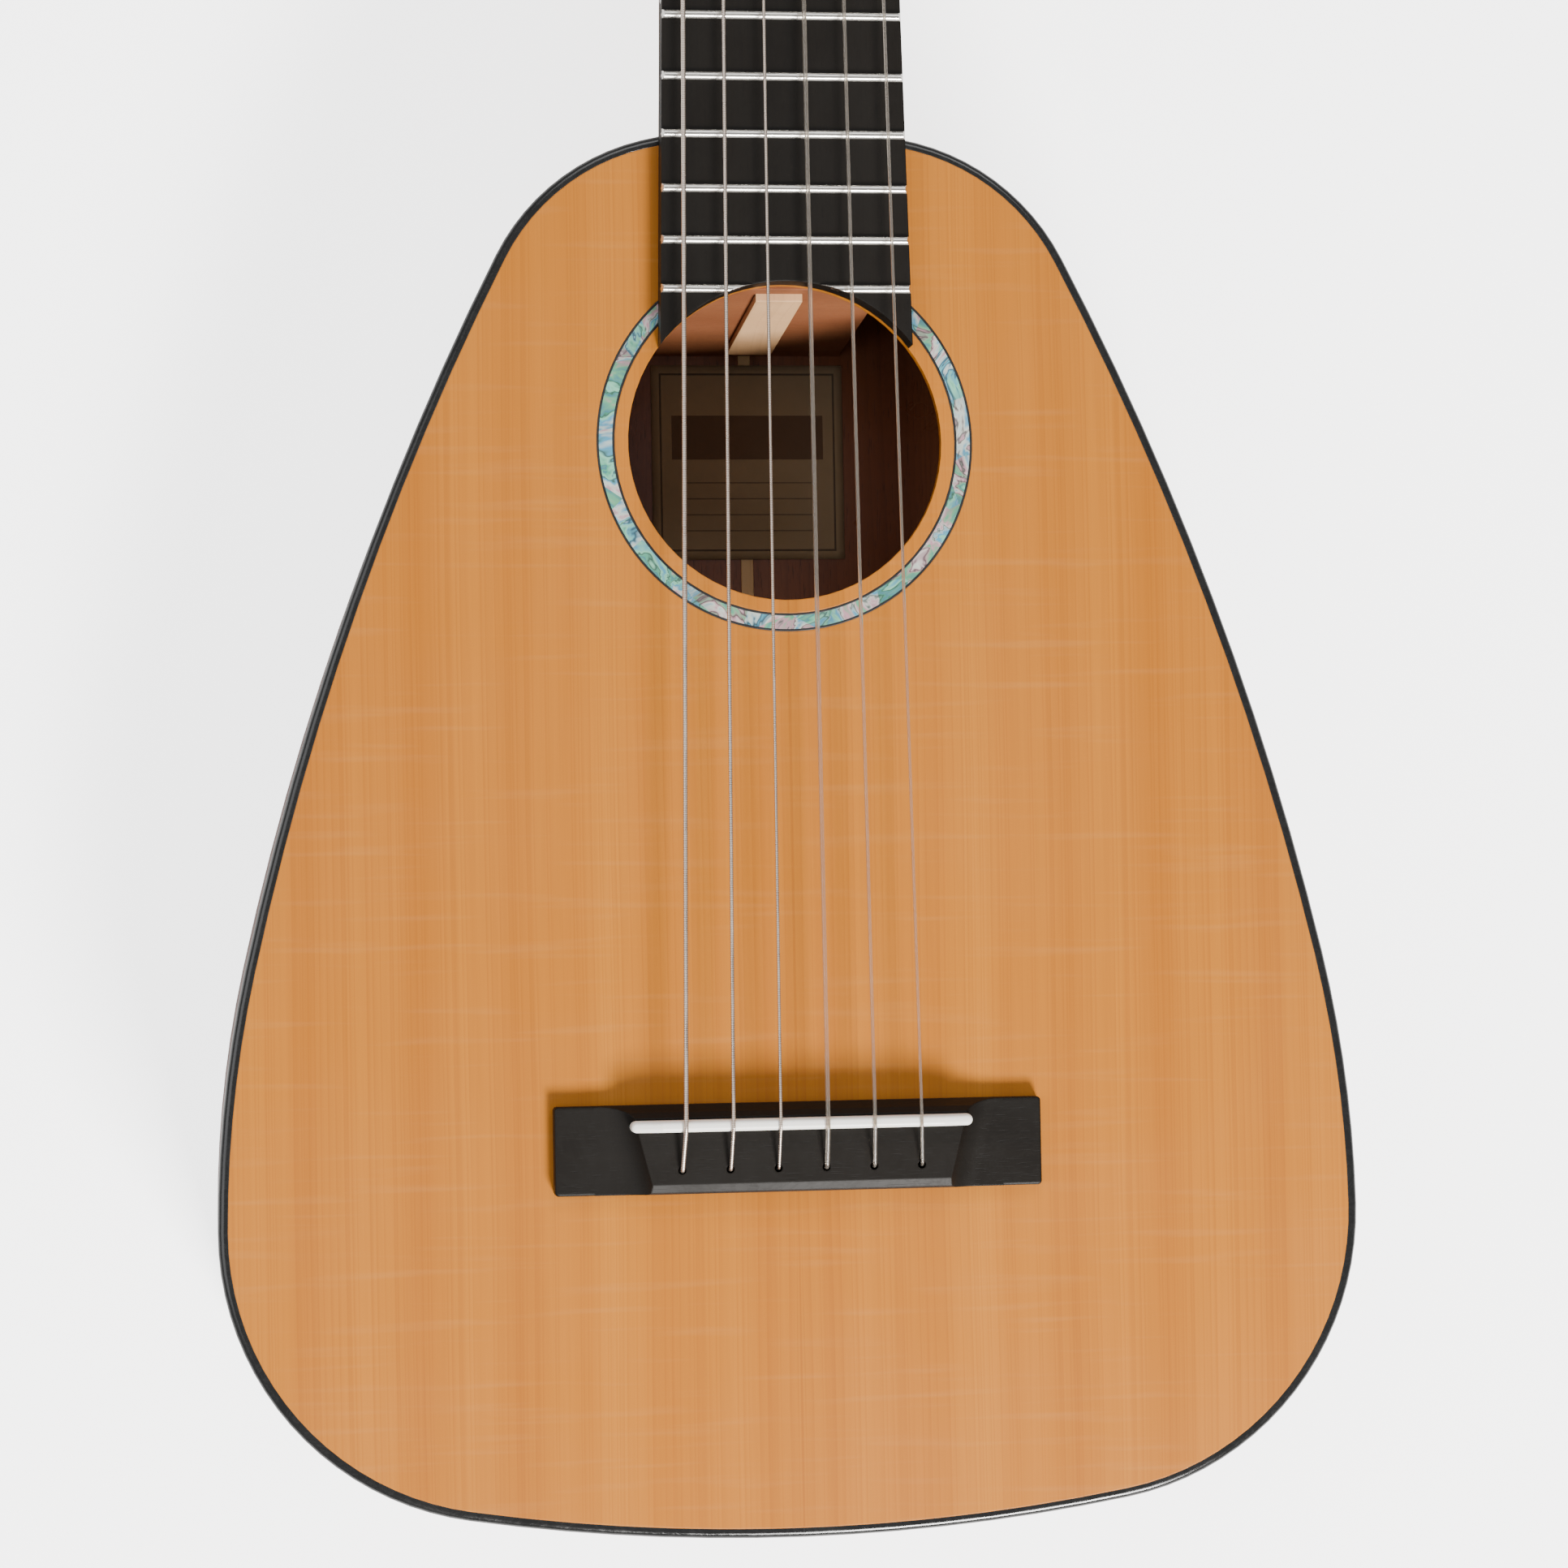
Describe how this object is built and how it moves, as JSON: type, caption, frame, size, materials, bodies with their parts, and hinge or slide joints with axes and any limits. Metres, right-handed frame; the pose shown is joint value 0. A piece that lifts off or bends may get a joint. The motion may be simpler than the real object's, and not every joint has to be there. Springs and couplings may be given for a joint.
{
  "type": "small nylon-string guitar",
  "caption": "Small travel guitar with a pear-shaped hollow body, round soundhole, string-through bridge, fretted neck and slanted head with worm-geared tuning machines.",
  "frame": {"origin": "on the underside of the flat back, below the theoretical end of the open strings; the saddle's crest is 2 mm nearer the tail", "axes": "+Z is the outward normal of the soundboard, +Y runs along the neck to the head, +X is the treble side"},
  "size_m": [0.2658, 0.7253, 0.0865],
  "materials": {
    "spruce_top": "satin honey varnish over straight-grained spruce",
    "mahogany": "satin varnish",
    "neck_wood": "satin varnish",
    "maple": "satin",
    "lining_wood": "raw wood",
    "brace_spruce": "raw wood",
    "black_binding": "polished",
    "abalone": "polished shell",
    "black_line": "satin",
    "ebony": "satin oiled",
    "bone": "satin",
    "fret_wire": "polished",
    "wound_string": "silvered winding",
    "nylon": "clear nylon",
    "bead_plastic": "moulded",
    "nickel": "nickel plated",
    "brass": "machined",
    "button_black": "moulded"
  },
  "bodies": {
    "root": {"back_binding": "black_binding", "back_braces": "brace_spruce", "back_inlay_strip": "maple", "back_plates": "mahogany", "bridge": "ebony", "bridge_plate": "maple", "fretboard": "ebony", "frets": "fret_wire", "headplate": "ebony", "heel_cap": "ebony", "linings": "lining_wood", "neck": "neck_wood", "neck_block": "neck_wood", "nut": "bone", "plain_strings": "nylon", "rib_bass": "mahogany", "rib_treble": "mahogany", "rosette_lines": "black_line", "rosette_shell": "abalone", "saddle": "bone", "soundboard": "spruce_top", "string_beads": "bead_plastic", "tail_block": "neck_wood", "tail_wedge": "ebony", "top_binding": "black_binding", "top_braces": "brace_spruce", "tuner_bushings": "nickel", "tuner_plates": "nickel", "tuner_screws": "nickel", "wound_strings": "wound_string"},
    "key_1": {"worm_1": "nickel", "button_1": "button_black"},
    "string_post_1": {"post_1": "nickel", "worm_wheel_1": "brass", "string_coil_1": "nylon"},
    "key_2": {"worm_2": "nickel", "button_2": "button_black"},
    "string_post_2": {"post_2": "nickel", "worm_wheel_2": "brass", "string_coil_2": "nylon"},
    "key_3": {"worm_3": "nickel", "button_3": "button_black"},
    "string_post_3": {"post_3": "nickel", "worm_wheel_3": "brass", "string_coil_3": "nylon"},
    "key_4": {"worm_4": "nickel", "button_4": "button_black"},
    "string_post_4": {"post_4": "nickel", "worm_wheel_4": "brass", "string_coil_4": "wound_string"},
    "key_5": {"worm_5": "nickel", "button_5": "button_black"},
    "string_post_5": {"post_5": "nickel", "worm_wheel_5": "brass", "string_coil_5": "wound_string"},
    "key_6": {"worm_6": "nickel", "button_6": "button_black"},
    "string_post_6": {"post_6": "nickel", "worm_wheel_6": "brass", "string_coil_6": "wound_string"}
  },
  "joints": [
    {"name": "key_turn_1", "type": "hinge", "parent": "root", "child": "key_1", "pos_m": [0.021, 0.52888, 0.05299], "axis": [1, 0, 0], "continuous": true},
    {"name": "post_turn_1", "type": "hinge", "parent": "root", "child": "string_post_1", "pos_m": [0.021, 0.53541, 0.05548], "axis": [0, 0.225, 0.9744], "continuous": true},
    {"name": "key_turn_2", "type": "hinge", "parent": "root", "child": "key_2", "pos_m": [0.0204, 0.56006, 0.04579], "axis": [1, 0, 0], "continuous": true},
    {"name": "post_turn_2", "type": "hinge", "parent": "root", "child": "string_post_2", "pos_m": [0.0204, 0.56659, 0.04829], "axis": [0, 0.225, 0.9744], "continuous": true},
    {"name": "key_turn_3", "type": "hinge", "parent": "root", "child": "key_3", "pos_m": [0.0198, 0.59124, 0.03859], "axis": [1, 0, 0], "continuous": true},
    {"name": "post_turn_3", "type": "hinge", "parent": "root", "child": "string_post_3", "pos_m": [0.0198, 0.59777, 0.04109], "axis": [0, 0.225, 0.9744], "continuous": true},
    {"name": "key_turn_4", "type": "hinge", "parent": "root", "child": "key_4", "pos_m": [-0.0198, 0.59124, 0.03859], "axis": [1, 0, 0], "continuous": true},
    {"name": "post_turn_4", "type": "hinge", "parent": "root", "child": "string_post_4", "pos_m": [-0.0198, 0.59777, 0.04109], "axis": [0, 0.225, 0.9744], "continuous": true},
    {"name": "key_turn_5", "type": "hinge", "parent": "root", "child": "key_5", "pos_m": [-0.0204, 0.56006, 0.04579], "axis": [1, 0, 0], "continuous": true},
    {"name": "post_turn_5", "type": "hinge", "parent": "root", "child": "string_post_5", "pos_m": [-0.0204, 0.56659, 0.04829], "axis": [0, 0.225, 0.9744], "continuous": true},
    {"name": "key_turn_6", "type": "hinge", "parent": "root", "child": "key_6", "pos_m": [-0.021, 0.52888, 0.05299], "axis": [1, 0, 0], "continuous": true},
    {"name": "post_turn_6", "type": "hinge", "parent": "root", "child": "string_post_6", "pos_m": [-0.021, 0.53541, 0.05548], "axis": [0, 0.225, 0.9744], "continuous": true}
  ],
  "couplings": [
    {"joint": "post_turn_1", "follows": "key_turn_1", "ratio": -0.066667},
    {"joint": "post_turn_2", "follows": "key_turn_2", "ratio": -0.066667},
    {"joint": "post_turn_3", "follows": "key_turn_3", "ratio": -0.066667},
    {"joint": "post_turn_4", "follows": "key_turn_4", "ratio": -0.066667},
    {"joint": "post_turn_5", "follows": "key_turn_5", "ratio": -0.066667},
    {"joint": "post_turn_6", "follows": "key_turn_6", "ratio": -0.066667}
  ]
}
